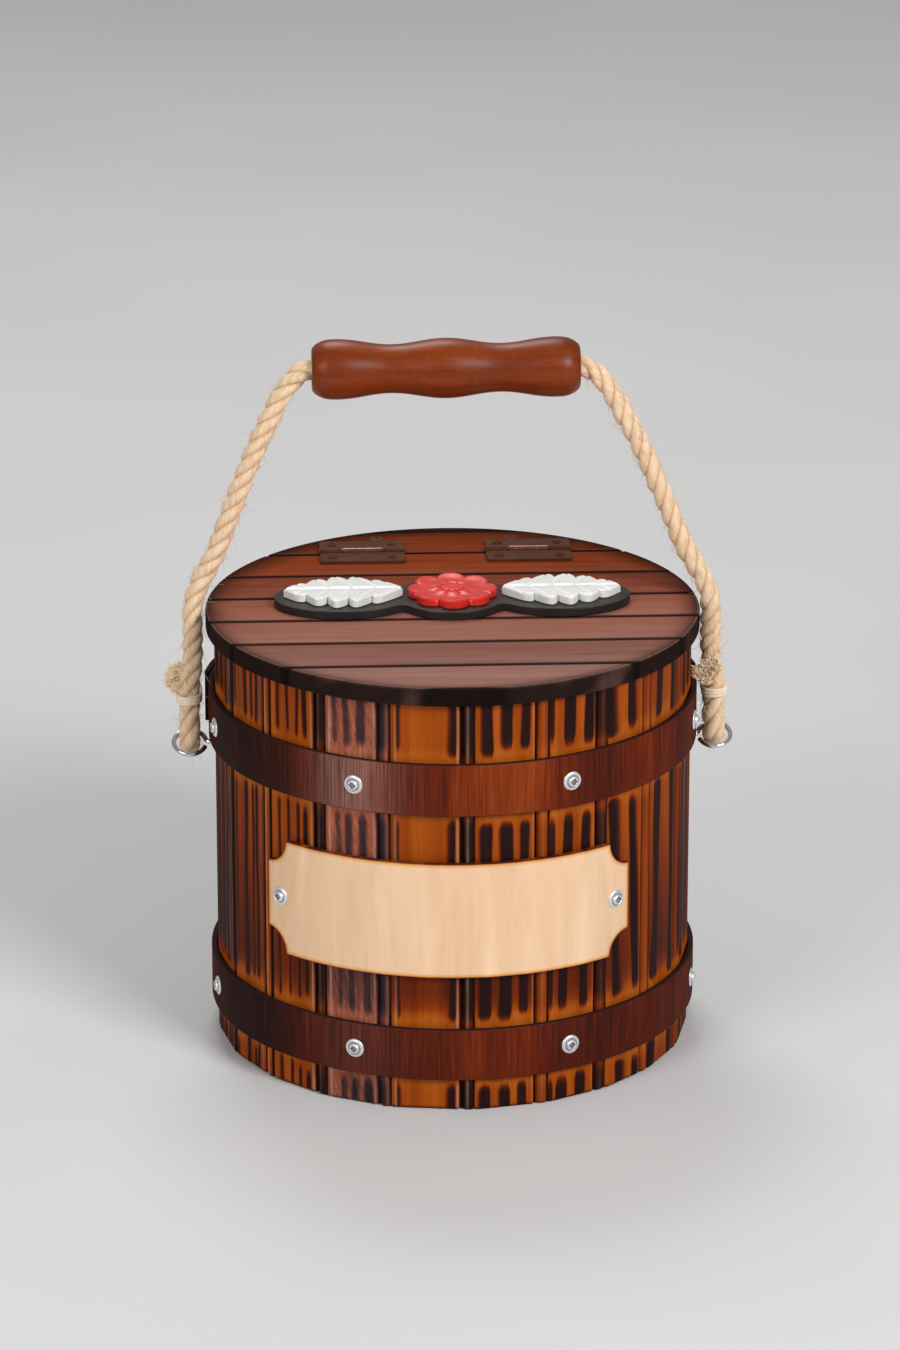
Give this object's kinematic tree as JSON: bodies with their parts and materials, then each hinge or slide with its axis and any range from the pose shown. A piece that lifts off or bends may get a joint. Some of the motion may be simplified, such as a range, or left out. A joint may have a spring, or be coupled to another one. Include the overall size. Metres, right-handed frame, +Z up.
{
  "type": "champagne bucket",
  "caption": "Round coopered wooden bucket with plywood hoops, a hinged plank lid with a relief plaque, a blank nameplate and a rope handle with a turned wooden grip.",
  "frame": {"origin": "on the floor, in the middle of the coopered body", "axes": "+Z up; -Y is the front with the nameplate, +Y the back with the lid's hinges; +X to the right, along the handle's grip"},
  "size_m": [0.2859, 0.2504, 0.3625],
  "materials": {
    "charred_pine": "scorched and clear-coated, satin",
    "pale_pine": "planed, uncoated",
    "stained_plywood": "dark stain, satin",
    "birch_plywood": "sanded, laser-cut edges",
    "stained_pine": "brown stain, satin",
    "turned_mahogany": "varnished, gloss",
    "sisal_rope": "twisted natural fibre",
    "cream_binding": "satin",
    "zinc_plated_steel": "bright zinc",
    "bronzed_steel": "brown, satin",
    "black_acrylic": "satin",
    "white_acrylic": "satin",
    "red_acrylic": "satin"
  },
  "bodies": {
    "bucket": {"stave_01": "charred_pine", "stave_02": "charred_pine", "stave_03": "charred_pine", "stave_04": "charred_pine", "stave_05": "charred_pine", "stave_06": "charred_pine", "stave_07": "charred_pine", "stave_08": "charred_pine", "stave_09": "charred_pine", "stave_10": "charred_pine", "stave_11": "charred_pine", "stave_12": "charred_pine", "stave_13": "charred_pine", "stave_14": "charred_pine", "stave_15": "charred_pine", "stave_16": "charred_pine", "stave_17": "charred_pine", "stave_18": "charred_pine", "stave_19": "charred_pine", "stave_20": "charred_pine", "stave_21": "charred_pine", "base_board": "pale_pine", "top_hoop_front": "stained_plywood", "top_hoop_rear": "stained_plywood", "bottom_hoop": "stained_plywood", "nameplate": "birch_plywood", "nameplate_screw_left": "zinc_plated_steel", "nameplate_screw_right": "zinc_plated_steel", "lid_rear_plank": "stained_pine", "rear_plank_screw_left": "bronzed_steel", "rear_plank_screw_right": "bronzed_steel", "hinge_left_fixed_leaf": "bronzed_steel", "hinge_left_pin": "bronzed_steel", "hinge_right_fixed_leaf": "bronzed_steel", "hinge_right_pin": "bronzed_steel", "screw_eye_left": "zinc_plated_steel", "screw_eye_right": "zinc_plated_steel"},
    "lid": {"lid_plank_1": "stained_pine", "lid_plank_2": "stained_pine", "lid_plank_3": "stained_pine", "lid_plank_4": "stained_pine", "lid_plank_5": "stained_pine", "lid_plank_6": "stained_pine", "lid_batten_left": "pale_pine", "lid_batten_right": "pale_pine", "hinge_left_moving_leaf": "bronzed_steel", "hinge_right_moving_leaf": "bronzed_steel", "plaque": "black_acrylic", "plaque_leaf_left": "white_acrylic", "plaque_leaf_right": "white_acrylic", "plaque_rosette": "red_acrylic"},
    "handle": {"handle_rope": "sisal_rope", "rope_binding_left": "cream_binding", "rope_binding_right": "cream_binding"},
    "grip": {"grip": "turned_mahogany"}
  },
  "joints": [
    {"name": "lid_open", "type": "hinge", "parent": "bucket", "child": "lid", "pos_m": [0, 0.08313, 0.2266], "axis": [-1, 0, 0], "range_deg": [0, 110], "deforming": ["handle_rope"]},
    {"name": "handle_swing", "type": "hinge", "parent": "bucket", "child": "handle", "pos_m": [0, 0.00727, 0.1573], "axis": [-1, 0, 0], "range_deg": [0, 121.5]},
    {"name": "grip_spin", "type": "hinge", "parent": "handle", "child": "grip", "pos_m": [-0.003, 0.00727, 0.3477], "axis": [1, 0, 0], "continuous": true}
  ],
  "couplings": [
    {"joint": "handle_swing", "follows": "lid_open", "ratio": 1.1}
  ]
}
